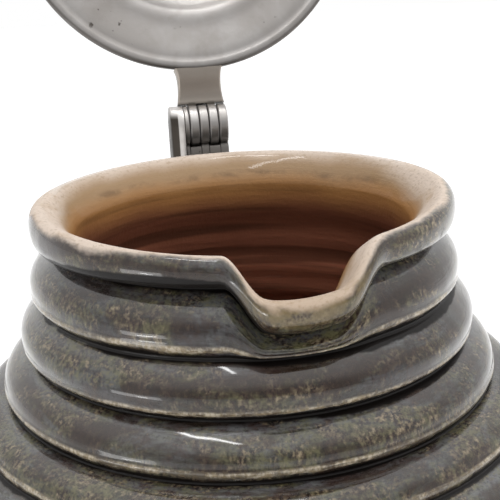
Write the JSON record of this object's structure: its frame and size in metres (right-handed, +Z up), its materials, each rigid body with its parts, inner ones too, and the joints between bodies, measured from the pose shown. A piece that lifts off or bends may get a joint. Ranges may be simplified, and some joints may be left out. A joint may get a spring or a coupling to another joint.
{
  "type": "beer jug",
  "caption": "Ribbed stoneware beer jug with a pinched pouring lip, a strap handle and a hinged pewter lid that stands open.",
  "frame": {"origin": "centre of the flat base, on the surface that the jug stands on", "axes": "+Z up along the jug's axis; -Y towards the pouring lip; +Y towards the handle and the hinge; +X to the right seen from the lip's side. The lid is stored open."},
  "size_m": [0.1838, 0.2144, 0.3576],
  "materials": {
    "body_glaze": "glossy mottled olive grey to brown salt glaze, matte beige on the rim, red-brown inside",
    "handle_glaze": "the same glaze as the body",
    "pewter_mount": "satin grey pewter, darker in the joints",
    "pewter_lid": "satin grey pewter with soft smudges",
    "hinge_pin": "dull steel wire, ends peened"
  },
  "bodies": {
    "jug": {"jug_body": "body_glaze", "handle": "handle_glaze", "handle_band": "pewter_mount", "hinge_base": "pewter_mount", "hinge_pin": "hinge_pin"},
    "lid": {"lid": "pewter_lid", "lid_shank": "pewter_lid", "thumb_lift": "pewter_lid"}
  },
  "joints": [
    {"name": "lid_hinge", "type": "hinge", "parent": "jug", "child": "lid", "pos_m": [0, 0.071, 0.237], "axis": [1, 0, 0], "range_deg": [0, 107]}
  ]
}
